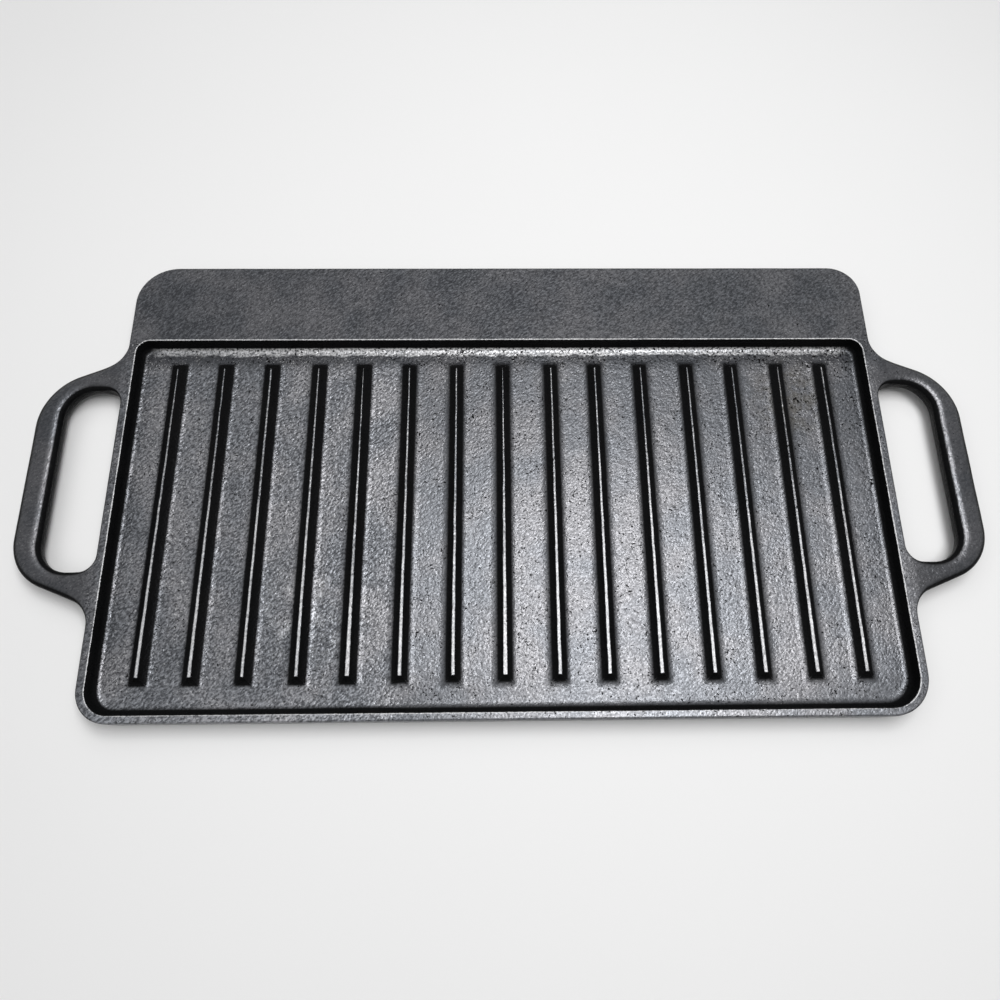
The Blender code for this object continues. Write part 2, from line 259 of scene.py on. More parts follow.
def fillet_shares(y):
    """How much a point of the recess's foot has of the front, side and back fillet.

    The change starts twice FILLET_CHANGE from the wall and ends at once FILLET_CHANGE.
    """
    front = limited((RECESS_FRONT - y) / FILLET_CHANGE + 2)
    back = limited((y - RECESS_BACK) / FILLET_CHANGE + 2)
    return front, 1 - front - back, back


def recess_rings(outline):
    """Rings up the recess's sides, whose fillet narrows from the front to the back."""
    rings = []
    wear = []
    for stages in zip(*[recess_profile(fillet) for fillet in RECESS_FILLETS.values()]):
        lines = [rounded_rectangle(*outline, inset=inset) for inset, height, worn in stages]
        ring = []
        for points in zip(*lines):
            place = Vector()
            for share, (x, y), stage in zip(fillet_shares(points[1][1]), points, stages):
                place += share * Vector((x, y, stage[1]))
            ring.append(place)
        rings.append(ring)
        wear.append(stages[0][2])
    return rings, wear


def outer_profile():
    """Over the rim's outer edge, down the side and round onto the resting lip."""
    edge = OUTER_EDGE_ROUNDING
    profile = [(edge * (1 - sin(a)), RIM_TOP - edge * (1 - cos(a)), 0.0) for a in quarter()]
    profile += [(edge * (1 - cos(a)), edge * (1 - sin(a)), 0.0) for a in quarter()]
    return profile


def basin_profile():
    """From the resting lip up to the griddle face."""
    edge = TROUGH_EDGE_ROUNDING
    profile = [(-edge * (1 - sin(a)), edge * (1 - cos(a)), 0.0) for a in quarter()]
    profile.append(((FACE_HEIGHT - edge) * tan(TROUGH_DRAFT), FACE_HEIGHT, 0.0))
    return profile


def trough_profile():
    """From the griddle face up to the trough's ceiling."""
    edge = TROUGH_EDGE_ROUNDING
    start = FACE_HEIGHT * tan(TROUGH_DRAFT) + edge
    profile = [(start - edge * (1 - sin(a)), FACE_HEIGHT + edge * (1 - cos(a)), 0.0)
               for a in quarter()]
    wall = (LEDGE_UNDERSIDE - TROUGH_FILLET - FACE_HEIGHT) * tan(TROUGH_DRAFT)
    for angle in quarter():
        profile.append((start + wall + TROUGH_FILLET * (1 - cos(angle)),
                        LEDGE_UNDERSIDE - TROUGH_FILLET * (1 - sin(angle)), 0.0))
    return profile


def make_casting(material):
    """The body: floor, recess, rims and ledge above, lip, griddle face and trough below."""
    radii = list(CORNER_RADII.values())
    drawn_in = [radius - SIDE_RIM_WIDTH for radius in radii]
    back = RECESS_BACK_RADIUS
    recess = (RECESS_HALF_WIDTH, RECESS_FRONT, RECESS_BACK, (drawn_in[0], back, back, drawn_in[3]))
    outside = (HALF_WIDTH, -HALF_DEPTH, HALF_DEPTH, radii)
    basin = (HALF_WIDTH - LIP_WIDTH, LIP_WIDTH - HALF_DEPTH, HALF_DEPTH - TROUGH_OUTER_WALL,
             drawn_in)
    trough = (HALF_WIDTH - LIP_WIDTH, RECESS_BACK + TROUGH_FRONT_WALL,
              HALF_DEPTH - TROUGH_OUTER_WALL, (back, drawn_in[1], drawn_in[2], back))
    rings, wear = recess_rings(recess)
    for outline, profile in ((outside, outer_profile()), (basin, basin_profile()),
                             (trough, trough_profile())):
        for inset, height, worn in profile:
            rings.append([(x, y, height) for x, y in rounded_rectangle(*outline, inset=inset)])
            wear.append(worn)
    bm = loft(rings, wear)
    for point in bm.verts:
        shift = noise.noise_vector(point.co / WAVER_LENGTH) * CASTING_WAVER
        shift.z = 0
        point.co += shift
    casting = add_piece("griddle_casting", bm, material)
    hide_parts("griddle_plate", "front_rim", "left_front_corner",
                "right_front_corner", "left_rim", "right_rim", "back_wall", "back_ledge",
                "trough_wall")
    return casting


def rib_profile(rise):
    """From just below the floor, up a cove and a slope to the crest's flat."""
    cove = RIB_COVE_RADIUS
    shoulder = RIB_SHOULDER_RADIUS
    turned = 1 - cos(RIB_SIDE_ANGLE)
    slope = (rise - (cove + shoulder) * turned) / sin(RIB_SIDE_ANGLE)
    profile = [(-0.5 * RIB_SINK, -RIB_SINK, 0.0)]
    for step in range(ROUND_STEPS + 1):
        angle = RIB_SIDE_ANGLE * step / ROUND_STEPS
        profile.append((cove * sin(angle), cove * (1 - cos(angle)), 0.0))
    run = cove * sin(RIB_SIDE_ANGLE) + slope * cos(RIB_SIDE_ANGLE)
    run += shoulder * tan(RIB_SIDE_ANGLE / 2) * (1 + cos(RIB_SIDE_ANGLE))
    for step in range(ROUND_STEPS + 1):
        angle = RIB_SIDE_ANGLE * (1 - step / ROUND_STEPS)
        profile.append((run - shoulder * sin(angle),
                        rise - shoulder * (1 - cos(angle)), 0.5 * step / ROUND_STEPS))
    profile.append((run + RIB_CREST_BAND, rise, 1.0))
    return profile


def rib_outline(half_width, half_length, radius, inset):
    """Narrow outline with points close together along its two long sides."""
    x = half_width - inset
    y = half_length - inset
    rounding = max(min(radius, x) - inset, RIB_SMALLEST_RADIUS)
    centres = ((x - rounding, rounding - y), (x - rounding, y - rounding),
               (rounding - x, y - rounding), (rounding - x, rounding - y))
    corners = [arc(*centre, rounding, (turns - 1) * pi / 2, turns * pi / 2, RIB_CORNER_STEPS)
               for turns, centre in enumerate(centres)]
    return joined(corners, (round(2 * half_length / RIB_POINT_SPACING), RIB_CORNER_STEPS))


def make_rib(node, material):
    """A grill rib, a little uneven as cast, whose worn crest spreads towards the front."""
    low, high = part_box(node)
    middle = (low + high) / 2
    half_width = (high.x - low.x) / 2 + RIB_FOOT_GROWTH
    half_length = (high.y - low.y) / 2 + RIB_FOOT_GROWTH
    rise = high.z - FLOOR_TOP
    rings = []
    wear = []
    for inset, height, worn in rib_profile(rise):
        outline = rib_outline(half_width, half_length, RIB_CORNER_RADIUS + half_width / 3, inset)
        rings.append([(middle.x + x, middle.y + y, FLOOR_TOP + height) for x, y in outline])
        wear.append(worn)
    bm = loft(rings, wear)
    spread = RIB_CREST_SPREAD * (1 + RIB_SPREAD_CHANGE * noise.noise(low / WAVER_LENGTH))
    for point in bm.verts:
        share = max(point.co.z - FLOOR_TOP, 0) / rise
        nearness = (middle.y - point.co.y) / half_length
        at_crest = share ** RIB_SPREAD_SHARPNESS
        point.co.x += (point.co.x - middle.x) * spread * nearness * at_crest
        shift = noise.noise_vector(point.co / RIB_WAVER_LENGTH) * RIB_WAVER * share
        wander = noise.noise_vector(Vector((middle.x, point.co.y, 0)) / RIB_WANDER_LENGTH)
        point.co.x += shift.x + wander.x * RIB_WANDER + RIB_SHIFTS.get(node, 0)
        point.co.z += min(shift.z, 0)
    rib = add_piece("grill_" + node, bm, material)
    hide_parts(node)
    return rib


def evenly(points, count):
    """The same open line with a fixed number of points, evenly apart."""
    lengths = [hypot(b[0] - a[0], b[1] - a[1]) for a, b in zip(points, points[1:])]
    total = sum(lengths)
    line = [points[0]]
    place = 0
    passed = 0.0
    for step in range(1, count - 1):
        wanted = total * step / (count - 1)
        while passed + lengths[place] < wanted:
            passed += lengths[place]
            place += 1
        share = (wanted - passed) / lengths[place]
        first, last = points[place], points[place + 1]
        line.append((first[0] + (last[0] - first[0]) * share,
                     first[1] + (last[1] - first[1]) * share))
    line.append(points[-1])
    return line


def handle_half(shoulder):
    """Outer and inner edge of the back half of a handle, as if it lay on the middle."""
    slope = HANDLE_LIMB_SLOPE
    width = HANDLE_REACH - HANDLE_BAR_WIDTH
    shoulder_x = HANDLE_REACH - shoulder
    limb_x = shoulder_x + shoulder * sin(slope)
    limb_y = OPENING_LENGTH / 2 + HANDLE_LIMB_WIDTH - (limb_x - width / 2) * tan(slope)
    shoulder_y = limb_y - shoulder * cos(slope)
    root_y = limb_y + limb_x * tan(slope) + HANDLE_ROOT_RADIUS * tan((pi / 2 - slope) / 2)
    half = OPENING_LENGTH / 2
    outer = min(OPENING_OUTER_RADIUS, width - OPENING_INNER_RADIUS)
    inner = OPENING_INNER_RADIUS
    outside = arc(shoulder_x, shoulder_y, shoulder, 0, pi / 2 - slope, HANDLE_BEND_STEPS)
    outside += arc(HANDLE_ROOT_RADIUS, root_y, HANDLE_ROOT_RADIUS, 3 * pi / 2 - slope, pi,
                   HANDLE_ROOT_STEPS)
    inside = arc(width - outer, half - outer, outer, 0, pi / 2, HANDLE_BEND_STEPS)
    inside += arc(inner, half - inner, inner, pi / 2, pi, HANDLE_ROOT_STEPS)
    return outside, inside


def handle_edges(shift):
    """Outer and inner edge of a handle, from its front root to its back root.

    A straight bar turns round a shoulder into a sloping limb, and a hollow root curve
    brings the limb out along the plate's side. Both edges have as many points.
    """
    backs = handle_half(HANDLE_BACK_SHOULDER_RADIUS)
    fronts = handle_half(HANDLE_FRONT_SHOULDER_RADIUS)
    edges = []
    for back, front in zip(backs, fronts):
        line = [(x, -y) for x, y in reversed(front)] + back
        edges.append([(x, y + shift) for x, y in evenly(line, HANDLE_STATIONS)])
    return edges


def edge_share(x):
    """How much of the handle's full edge rounding a point has, by its distance out."""
    share = limited(x / HANDLE_ROUNDING_REACH)
    return share * share * (3 - 2 * share)


def rounded_edge(line, side, edge_width, edge_drop, angle):
    """An edge drawn into the handle at one stage of its rounding, with its heights.

    The stage is an angle: 0 at the handle's side, a quarter turn at its flat. Both
    ends are carried on straight to just inside the plate.
    """
    points = []
    for place, (x, y) in enumerate(line):
        share = edge_share(x)
        width = OUTER_EDGE_ROUNDING + share * (edge_width - OUTER_EDGE_ROUNDING)
        drop = OUTER_EDGE_ROUNDING + share * (edge_drop - OUTER_EDGE_ROUNDING)
        if 0 < place < len(line) - 1:
            along_x = line[place + 1][0] - line[place - 1][0]
            along_y = line[place + 1][1] - line[place - 1][1]
            length = hypot(along_x, along_y)
            inward = (-side * along_y / length, side * along_x / length)
        else:
            inward = (-1.0, 0.0)
        inset = width * (1 - cos(angle))
        points.append((x + inward[0] * inset, y + inward[1] * inset,
                       HANDLE_THICKNESS / 2 - drop * (1 - sin(angle))))
    tuck = -OUTER_EDGE_ROUNDING - HANDLE_ROOT_TUCK
    return [(tuck,) + points[0][1:]] + points + [(tuck,) + points[-1][1:]]


def make_handle(name, side, material):
    """A loop handle, rounded from its sides to its flats and tucked into the casting.

    Its flat underside and top are strips between the outer and the inner edge.
    """
    outside, inside = handle_edges(side * HANDLE_STAGGER)
    middle = RIM_TOP - HANDLE_THICKNESS / 2
    stages = [(angle, "lower", -1) for angle in reversed(quarter())]
    stages += [(angle, "upper", 1) for angle in quarter()]
    rings = []
    for angle, half, up in stages:
        drop = HANDLE_EDGE_DROPS[half]
        ring = rounded_edge(outside, 1, HANDLE_OUTER_EDGE_WIDTHS[half], drop, angle)
        ring += rounded_edge(inside, -1, HANDLE_INNER_EDGE_WIDTHS[half], drop, angle)[::-1]
        rings.append([(side * (HALF_WIDTH + x), y, middle + up * z) for x, y, z in ring])
    bm, rows = sleeve(rings, [0.0] * len(rings))
    for row in (rows[0], rows[-1]):
        last = len(row) - 1
        for place in range(len(row) // 2 - 1):
            bm.faces.new((row[place], row[place + 1], row[last - place - 1], row[last - place]))
    for point in bm.verts:
        away = limited((abs(point.co.x) - HALF_WIDTH) / HANDLE_REACH)
        point.co += noise.noise_vector(point.co / WAVER_LENGTH) * CASTING_WAVER * away
    handle = add_piece(name + "_loop", bm, material)
    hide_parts(name)
    return handle


class Nodes:
    """Short ways to add shader nodes and join them."""

    def __init__(self, owner):
        owner.use_nodes = True
        self.tree = owner.node_tree
        self.tree.nodes.clear()

    def add(self, kind, inputs=None, **settings):
        """A node with its settings, whose inputs are numbers, colours or other outputs."""
        node = self.tree.nodes.new(kind)
        for setting, value in settings.items():
            setattr(node, setting, value)
        for socket, value in (inputs or {}).items():
            if isinstance(value, bpy.types.NodeSocket):
                self.tree.links.new(value, node.inputs[socket])
            else:
                node.inputs[socket].default_value = value
        return node

    def math(self, operation, first, second=0.0, clamp=False):
        node = self.add("ShaderNodeMath", {0: first, 1: second}, operation=operation,
                        use_clamp=clamp)
        return node.outputs[0]

    def product(self, first, *others):
        for other in others:
            first = self.math("MULTIPLY", first, other)
        return first

    def total(self, first, *others):
        for other in others:
            first = self.math("ADD", first, other)
        return first

    def less(self, first, *others):
        for other in others:
            first = self.math("SUBTRACT", first, other)
        return first

    def largest(self, first, *others):
        for other in others:
            first = self.math("MAXIMUM", first, other)
        return first

    def inverse(self, mask):
        """What a mask leaves out."""
        return self.math("SUBTRACT", 1.0, mask)

    def span(self, value, low, high, to_low=0.0, to_high=1.0):
        """Smooth step of a value between two others."""
        node = self.add("ShaderNodeMapRange",
                        {0: value, 1: low, 2: high, 3: to_low, 4: to_high},
                        interpolation_type="SMOOTHSTEP")
        return node.outputs[0]

    def noise(self, vector, scale, detail=2.0, roughness=0.5):
        node = self.add("ShaderNodeTexNoise", {"Vector": vector, "Scale": scale,
                                               "Detail": detail, "Roughness": roughness})
        return node.outputs[0]

    def mix(self, factor, first, second):
        """Colour between two others."""
        node = self.add("ShaderNodeMix", {0: factor, 6: first, 7: second}, data_type="RGBA")
        return node.outputs[2]

    def blend(self, factor, first, second):
        """Number between two others."""
        node = self.add("ShaderNodeMix", {0: factor, 2: first, 3: second}, data_type="FLOAT")
        return node.outputs[0]

    def spot(self, place, centre, reach, mottling):
        """Mottled patch that fades out with distance from its centre."""
        away = self.add("ShaderNodeVectorMath", {0: place, 1: centre}, operation="DISTANCE")
        return self.product(self.span(away.outputs["Value"], reach, 0.3 * reach), mottling)


# The iron's colours, its sheen's two tints and how strongly it reflects
IRON_DARK = (0.010, 0.011, 0.013, 1.0)
IRON_MID = (0.026, 0.027, 0.030, 1.0)
# Near-black for the pits, and for the painted shade on steep sides
IRON_PIT_AND_SHADE_BLACK = (0.003, 0.003, 0.003, 1.0)
IRON_WORN = (0.50, 0.50, 0.505, 1.0)
IRON_RUST = (0.036, 0.031, 0.020, 1.0)
IRON_SMUDGE = (0.105, 0.105, 0.105, 1.0)
COOL_SHEEN = (0.89, 0.925, 1.0, 1.0)
WARM_SHEEN = (0.94, 0.935, 0.98, 1.0)
IRON_IOR = 2.05

# The iron's noises: waves to the metre, then how its strokes and pits are laid
SWELL_SCALE = 38.0
PATCH_SCALE = 75.0
BLOTCH_SCALE = 120.0
COARSE_SCALE = 210.0
GRAIN_SCALE = 900.0
STROKE_SCALE = 780.0
GLINT_SCALE = 950.0
SCRATCH_SCALE = 1300.0
PIT_SCALE = 860.0
FLECK_SCALE = 1150.0
RUB_SCALE = 880.0
RUB_WIDE_SCALE = 34.0
STROKE_TURN = (0.0, 0.0, radians(42))
STROKE_STRETCH = (1.9, 1.0, 1.0)
PIT_OFFSET = (0.3, 0.7, 0.2)

# Lowest and highest gloss from glint to glint
CALM_GLOSS = (0.38, 0.65)
RUGGED_GLOSS = (0.23, 0.81)
BOLD_GLOSS = (0.20, 0.98)

# Where the iron's marks lie
OILED_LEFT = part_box("rib_06")[0].x
FRONT_STRIP = (-0.100, -0.114)
BAND_FRONT = RECESS_BACK - 0.0062
SMUDGE_PLACE = (-0.101, -0.072, FLOOR_TOP)
SMUDGE_REACH = 0.034
RUST_PLACE = (0.163, 0.046, FLOOR_TOP)
RUST_REACH = 0.030


class SeasonedIron(Nodes):
    """Black seasoned iron with sand-cast grain, pits, worn edges and a few pale stains.

    Its masks run from 0 to 1 and work in the griddle's own coordinates, so one material
    runs on unbroken from piece to piece. The pieces differ in how rubbed the far and
    the near ends of their worn edges are, and in how steep a side has to be before
    it is painted fully dark as shade.
    """

    def __init__(self, name, rub_far, rub_near, steepest):
        self.material = bpy.data.materials.new(name)
        super().__init__(self.material)
        self.find_zones()
        self.find_facing(steepest)
        self.add_grain()
        self.add_rear_band()
        self.add_stains()
        self.add_pits_and_flecks()
        self.add_worn_metal(rub_far, rub_near)
        shader = self.add("ShaderNodeBsdfPrincipled", {
            "Base Color": self.colour(), "Roughness": self.roughness(),
            "Metallic": self.product(self.bright, 0.45), "IOR": IRON_IOR,
            "Specular IOR Level": self.gloss(), "Specular Tint": self.sheen(),
            "Normal": self.relief()})
        self.add("ShaderNodeOutputMaterial", {0: shader.outputs[0]})

    def find_zones(self):
        """Where on the griddle a point is."""
        self.place = self.add("ShaderNodeTexCoord").outputs["Object"]
        self.x, self.y, self.z = self.add("ShaderNodeSeparateXYZ", {0: self.place}).outputs
        self.width_out = self.math("ABSOLUTE", self.x)
        self.ledge = self.span(self.y, RECESS_BACK - 0.0010, RECESS_BACK + 0.0004)
        self.handle = self.span(self.width_out, HALF_WIDTH - 0.0040, HALF_WIDTH + 0.0060)
        self.outside = self.largest(self.ledge, self.handle)
        self.in_recess = self.product(self.span(self.z, FLOOR_TOP - 0.0010, FLOOR_TOP - 0.0003),
                                      self.inverse(self.outside))
        self.left_rim = self.span(self.x, -RECESS_HALF_WIDTH, -RECESS_HALF_WIDTH - 0.0010)
        self.front_rim = self.span(self.y, RECESS_FRONT + 0.0004, RECESS_FRONT - 0.0004)
        self.front_strip = self.span(self.y, *FRONT_STRIP)

    def find_facing(self, steepest):
        """Which way a point faces, and whether it is in the part that is used most.

        The outer walls and the underside are of one tone with the used part.
        """
        normal = self.add("ShaderNodeNewGeometry").outputs["Normal"]
        facing = self.add("ShaderNodeSeparateXYZ", {0: normal}).outputs
        level = self.math("ABSOLUTE", facing["Z"])
        walls = self.span(level, 0.12, 0.05)
        underside = self.span(self.z, FLOOR_TOP - 0.0010, FLOOR_TOP - 0.0020)
        used = self.span(self.x, OILED_LEFT - 0.002, OILED_LEFT + 0.006)
        self.used = self.largest(used, walls, underside)
        # Partly oil and partly a painted pool of light: glossier towards the front of the used
        # part
        oiled_and_light_pool = self.product(self.used, self.span(self.y, 0.045, -0.045))
        self.oiled_and_light_pool = self.blend(self.front_strip, oiled_and_light_pool, 0.4)
        # Painted shade: sides steeper than the floor are darkened towards near-black and lose
        # their gloss, less so near the front edge
        darkest = self.blend(self.largest(self.used, self.handle), steepest + 0.05, steepest)
        front_edge = self.span(self.y, 0.0022 - HALF_DEPTH, 0.0008 - HALF_DEPTH)
        self.steep = self.product(self.span(level, 0.992, darkest),
                                  self.blend(front_edge, 1.0, 0.35))
        # Painted highlight on handle faces turned towards the griddle's middle, and painted shade
        # on faces turned outwards
        outward = self.product(self.x, facing["X"])
        self.inward_highlight = self.span(outward, 0.01, -0.09)
        self.outward_shade = self.span(outward, 0.03, 0.15)

    def add_grain(self):
        """Sand-cast grain: short diagonal strokes over finer and coarser grain."""
        self.strokes = self.add("ShaderNodeMapping", {
            0: self.place, "Rotation": STROKE_TURN, "Scale": STROKE_STRETCH},
            vector_type="TEXTURE").outputs[0]
        self.grain = self.noise(self.place, GRAIN_SCALE, roughness=0.6)
        self.stroke = self.noise(self.strokes, STROKE_SCALE)
        self.coarse = self.noise(self.place, COARSE_SCALE)
        self.swell = self.noise(self.place, SWELL_SCALE)

    def add_rear_band(self):
        """Ragged band along the recess's rear foot, with duller floor in front of it as painted
        shade.
        """
        ragged = self.total(self.y, self.span(self.coarse, 0.3, 0.7, -0.0008, 0.0008))
        low = self.span(self.z, FLOOR_TOP + 0.0016, FLOOR_TOP + 0.0008)
        inside = self.span(self.width_out, RECESS_HALF_WIDTH - 0.004, RECESS_HALF_WIDTH - 0.012)
        self.band = self.product(self.span(ragged, BAND_FRONT, BAND_FRONT + 0.0016), low,
                                 self.in_recess, inside)
        # Painted shade: the floor in front of the band is made less glossy
        self.dull = self.product(self.span(self.y, BAND_FRONT - 0.0100, BAND_FRONT - 0.0020),
                                 self.in_recess)

    def add_stains(self):
        """A pale greasy smudge and a spot of old rust on the recess's floor."""
        blotch = self.noise(self.place, BLOTCH_SCALE, 4.0, 0.65)
        smudge = self.spot(self.place, SMUDGE_PLACE, SMUDGE_REACH, self.span(blotch, 0.46, 0.66))
        rust = self.spot(self.place, RUST_PLACE, RUST_REACH, self.span(blotch, 0.40, 0.60))
        self.smudge = self.product(smudge, self.in_recess, self.inverse(self.steep))
        self.rust = self.product(rust, self.in_recess, self.inverse(self.steep))

    def add_pits_and_flecks(self):
        """Dark pits, and bright flecks where the seasoning has chipped."""
        moved = self.add("ShaderNodeMapping", {0: self.place, "Location": PIT_OFFSET}).outputs[0]
        patch = self.noise(self.place, PATCH_SCALE, 3.0, 0.6)
        pit_level = self.total(self.span(patch, 0.38, 0.66, 0.71, 0.64),
                               self.product(self.outside, 0.05))
        pit_level = self.less(pit_level, self.blend(self.used, -0.025, 0.0),
                              self.product(self.dull, 0.05), self.product(self.rust, 0.08))
        pits = self.noise(moved, PIT_SCALE, 1.0)
        self.pit = self.span(self.less(pits, pit_level), 0.0, 0.03)
        fleck_level = self.total(self.span(self.swell, 0.38, 0.62, 0.70, 0.62),
                                 self.product(self.used, 0.02))
        flecks = self.noise(moved, FLECK_SCALE, 1.0)
        self.fleck = self.product(self.span(self.less(flecks, fleck_level), 0.0, 0.05),
                                  self.inverse(self.steep), self.blend(self.outside, 1.0, 0.2))

    def add_worn_metal(self, rub_far, rub_near):
        """Worn metal along the crests and the recess's edge, and a pale, shinier band at the
        recess's rear foot.
        """
        wear = self.add("ShaderNodeAttribute", attribute_name="wear").outputs["Fac"]
        rub = self.noise(self.place, RUB_SCALE, 3.0, 0.6)
        rub_wide = self.noise(self.place, RUB_WIDE_SCALE)
        rubbed = self.total(self.product(rub, 0.7), self.product(rub_wide, 0.3),
                            self.product(wear, 0.5),
                            self.less(self.span(self.y, 0.020, -0.120, rub_far, rub_near), 1.0))
        at_side = self.span(self.width_out, RECESS_HALF_WIDTH - 0.0040,
                            RECESS_HALF_WIDTH - 0.0010)
        at_front = self.span(self.y, RECESS_FRONT + 0.0040, RECESS_FRONT + 0.0010)
        rubbed = self.less(rubbed,
                           self.product(at_side, self.span(self.y, -0.060, 0.040, 0.0, 0.07)),
                           self.product(at_front, self.span(self.x, -0.05, 0.12, 0.04, 0.12)))
        scratched = self.noise(self.strokes, SCRATCH_SCALE, roughness=0.6)
        self.worn = self.product(self.span(rubbed, 0.34, 0.56), self.span(wear, 0.25, 0.60),
                                 self.span(scratched, 0.38, 0.60, 0.66, 1.0))
        # Pale, metallic and glossier band along the rear foot
        self.pale_band = self.product(self.band, self.span(rub, 0.34, 0.58), self.inverse(self.pit),
                                 self.span(self.width_out, 0.06, 0.20, 1.0, 0.62))
        self.bright = self.largest(self.worn, self.pale_band, self.product(self.fleck, 0.50))

    def colour(self):
        """Dark iron, with painted shade on steep sides, stains, pits, and worn metal and the pale
        rear band over it in turn.
        """
        tone = self.total(self.product(self.swell, 0.5), self.product(self.grain, 0.5))
        colour = self.mix(self.span(tone, 0.36, 0.64), IRON_DARK, IRON_MID)
        # Painted shade: steep sides darkened towards near-black
        colour = self.mix(self.product(self.steep, 0.9), colour, IRON_PIT_AND_SHADE_BLACK)
        colour = self.mix(self.product(self.smudge, 0.8), colour, IRON_SMUDGE)
        colour = self.mix(self.product(self.rust, 0.7), colour, IRON_RUST)
        colour = self.mix(self.pit, colour, IRON_PIT_AND_SHADE_BLACK)
        return self.mix(self.bright, colour, IRON_WORN)

    def roughness(self):
        """Satin iron, with rough pits and an even finish on the ledge and the handles."""
        rough = self.blend(self.span(self.grain, 0.38, 0.62), 0.26, 0.42)
        rough = self.blend(self.ledge, rough, 0.46)
        rough = self.blend(self.handle, rough, 0.28)
        rough = self.blend(self.pit, rough, 0.80)
        return self.blend(self.worn, rough, 0.46)

    def gloss(self):
        """How strongly the iron shines: bolder where it is oiled and in painted highlights, duller
        in pits and in painted shade.
        """
        glint = self.total(self.product(self.noise(self.strokes, GLINT_SCALE, 2.0, 0.7), 0.85),
                           self.product(self.swell, 0.15))
        calm, rugged, bold = [self.span(glint, 0.37, 0.63, *levels)
                              for levels in (CALM_GLOSS, RUGGED_GLOSS, BOLD_GLOSS)]
        # Partly oil, partly a painted pool of light near the middle; a painted highlight on the
        # front rim and painted shade on the left rim
        gloss = self.product(self.blend(self.used, bold, self.product(calm, 0.82)),
                             self.blend(self.oiled_and_light_pool, 1.0, 1.48),
                             self.blend(self.front_rim, 1.0, 1.30),
                             self.blend(self.left_rim, 1.0, 0.70),
                             self.blend(self.smudge, 1.0, 1.6))
        gloss = self.blend(self.ledge, gloss, self.product(rugged, 0.45))
        gloss = self.blend(self.product(self.rust, 0.6), gloss, 0.22)
        # Painted shade: duller floor in front of the rear band
        gloss = self.blend(self.math("SUBTRACT", self.dull, self.band, clamp=True), gloss, 0.20)
        # Handles: gloss gives a painted highlight on their inward-turned edges and painted shade
        # on their outward faces
        handle_highlight_and_shade = self.blend(self.outward_shade, self.blend(self.inward_highlight, 0.42, 1.50), 0.05)
        gloss = self.blend(self.handle, gloss, self.product(calm, handle_highlight_and_shade))
        gloss = self.blend(self.pale_band, gloss, 0.85)
        # Painted shade: steep sides lose nearly all their gloss, as the dull pits do
        gloss = self.blend(self.largest(self.steep, self.pit), gloss, 0.01)
        return self.blend(self.worn, gloss, rugged)

    def sheen(self):
        """Cool and slightly warmer tints, in wide drifts."""
        return self.mix(self.span(self.swell, 0.34, 0.66), COOL_SHEEN, WARM_SHEEN)

    def relief(self):
        """Bumps of the grain, strongest on the ledge, with the pits sunk in."""
        height = self.total(self.product(self.grain, 0.24), self.product(self.stroke, 0.30),
                            self.product(self.coarse, 0.26))
        amount = self.blend(self.ledge, self.blend(self.front_strip, 1.0, 0.6), 1.6)
        height = self.product(height, self.blend(self.handle, amount, 0.9))
        height = self.less(height, self.product(self.pit, 0.10))
        bump = self.add("ShaderNodeBump", {"Strength": 1.0, "Distance": 0.001, "Height": height})
        return bump.outputs[0]


# Backdrop and floor: how bright they are, and from where to where the lit floor fades
BACKDROP_LIGHT = 0.05
BACKDROP_SEEN = 0.80
WHITE = (1.0, 1.0, 1.0, 1.0)
FLOOR_TONES = ((0.80, 0.80, 0.80, 1.0), (0.83, 0.83, 0.83, 1.0))
FLOOR_RADIUS = 12.0
LIT_FLOOR_REACH = 0.35
PALE_FLOOR_REACH = 0.85

# The photograph's viewpoint, fitted to the ribs and the rim
CAMERA_PLACE = (-0.00857, -0.13918, 0.39596)
CAMERA_TURN = (radians(18.0), radians(-0.776), radians(-0.604))
CAMERA_LENS = 27.383
CAMERA_SENSOR = 36.0


def seen_rays(nodes):
    """1 for the rays that show a backdrop, to the eye or in gloss and glass, or else 0."""
    rays = nodes.add("ShaderNodeLightPath").outputs
    seen = nodes.math("ADD", rays["Is Camera Ray"], rays["Is Glossy Ray"])
    return nodes.math("ADD", seen, rays["Is Transmission Ray"], clamp=True)


def plain_floor():
    """Plain pale floor, which beyond the lamps' reach keeps the backdrop's paleness."""
    material = bpy.data.materials.new("pale_floor")
    nodes = Nodes(material)
    place = nodes.add("ShaderNodeTexCoord").outputs["Object"]
    tint = nodes.mix(nodes.noise(place, 3.0), *FLOOR_TONES)
    shader = nodes.add("ShaderNodeBsdfPrincipled", {"Base Color": tint, "Roughness": 0.9,
                                                    "Specular IOR Level": 0.2})
    away = nodes.add("ShaderNodeVectorMath", {0: place}, operation="LENGTH").outputs["Value"]
    far = nodes.product(nodes.span(away, LIT_FLOOR_REACH, PALE_FLOOR_REACH), seen_rays(nodes))
    pale = nodes.add("ShaderNodeEmission", {"Color": WHITE, "Strength": BACKDROP_SEEN})
    surface = nodes.add("ShaderNodeMixShader", {0: far, 1: shader.outputs[0],
                                                2: pale.outputs[0]})
    nodes.add("ShaderNodeOutputMaterial", {0: surface.outputs[0]})
    bm = bmesh.new()
    bmesh.ops.create_circle(bm, cap_ends=True, segments=96, radius=FLOOR_RADIUS)
    mesh = bpy.data.meshes.new("floor")
    bm.to_mesh(mesh)
    bm.free()
    mesh.materials.append(material)
    floor = bpy.data.objects.new("floor", mesh)
    bpy.context.scene.collection.objects.link(floor)


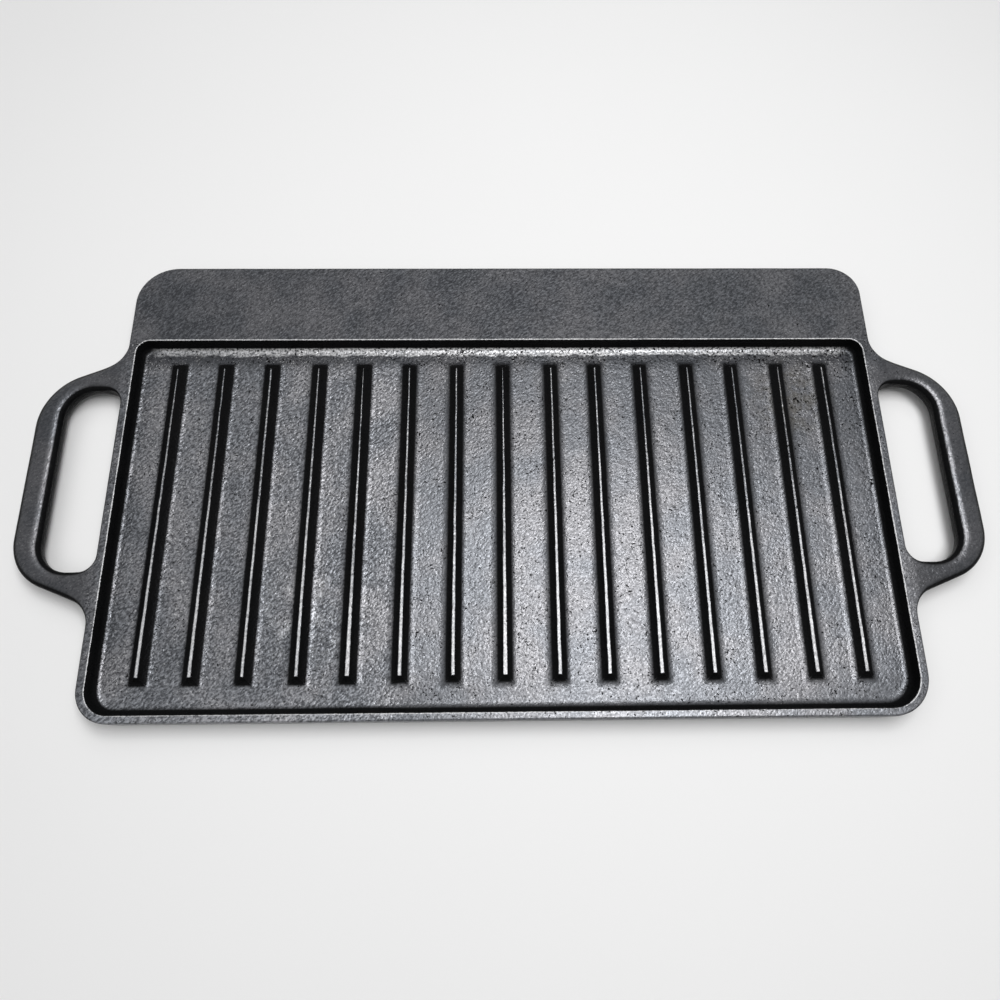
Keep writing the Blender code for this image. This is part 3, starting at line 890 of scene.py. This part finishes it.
def soft_box(name, place, width, depth, power, mirrored):
    """Area lamp aimed at the griddle. One that isn't mirrored doesn't show in the gloss."""
    light = bpy.data.lights.new(name, "AREA")
    light.shape = "RECTANGLE"
    light.size = width
    light.size_y = depth
    light.energy = power
    lamp = bpy.data.objects.new(name, light)
    lamp.location = place
    lamp.rotation_euler = (-Vector(place)).to_track_quat("-Z", "Y").to_euler()
    lamp.visible_glossy = mirrored
    bpy.context.scene.collection.objects.link(lamp)


def pale_world():
    """Pale backdrop that eyes and shiny surfaces see, though it lights the scene only dimly."""
    world = bpy.data.worlds.new("studio")
    nodes = Nodes(world)
    strength = nodes.blend(seen_rays(nodes), BACKDROP_LIGHT, BACKDROP_SEEN)
    background = nodes.add("ShaderNodeBackground", {"Color": WHITE, "Strength": strength})
    nodes.add("ShaderNodeOutputWorld", {0: background.outputs[0]})
    bpy.context.scene.world = world


def light_scene():
    soft_box("overhead_soft_box", place=(0.20, 0.070, 1.0), width=0.78, depth=0.34,
             power=7.2, mirrored=True)
    soft_box("ceiling_bounce", place=(-0.20, 0.10, 1.1), width=2.20, depth=1.50,
             power=10.8, mirrored=False)
    pale_world()
    bpy.context.scene.view_settings.view_transform = "Standard"


def make_camera():
    """The photograph's viewpoint, just above the front rim."""
    data = bpy.data.cameras.new("photo_view")
    data.lens = CAMERA_LENS
    data.sensor_width = CAMERA_SENSOR
    camera = bpy.data.objects.new("photo_view", data)
    camera.location = CAMERA_PLACE
    camera.rotation_euler = Euler(CAMERA_TURN)
    bpy.context.scene.collection.objects.link(camera)
    bpy.context.scene.camera = camera


def build_griddle():
    """All visual pieces, which ride on the griddle's one rigid body."""
    casting_iron = SeasonedIron("seasoned_casting_iron", rub_far=0.64, rub_near=0.58,
                                steepest=0.74)
    rib_iron = SeasonedIron("seasoned_rib_iron", rub_far=0.42, rub_near=0.66, steepest=0.86)
    handle_iron = SeasonedIron("seasoned_handle_iron", rub_far=0.0, rub_near=0.0, steepest=0.86)
    pieces = [make_casting(casting_iron.material)]
    for number in range(1, RIB_COUNT + 1):
        pieces.append(make_rib("rib_%02d" % number, rib_iron.material))
    for name, side in (("right_handle", 1), ("left_handle", -1)):
        pieces.append(make_handle(name, side, handle_iron.material))
    for piece in pieces:
        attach(piece, "root")


make_camera()
light_scene()
plain_floor()
build_griddle()
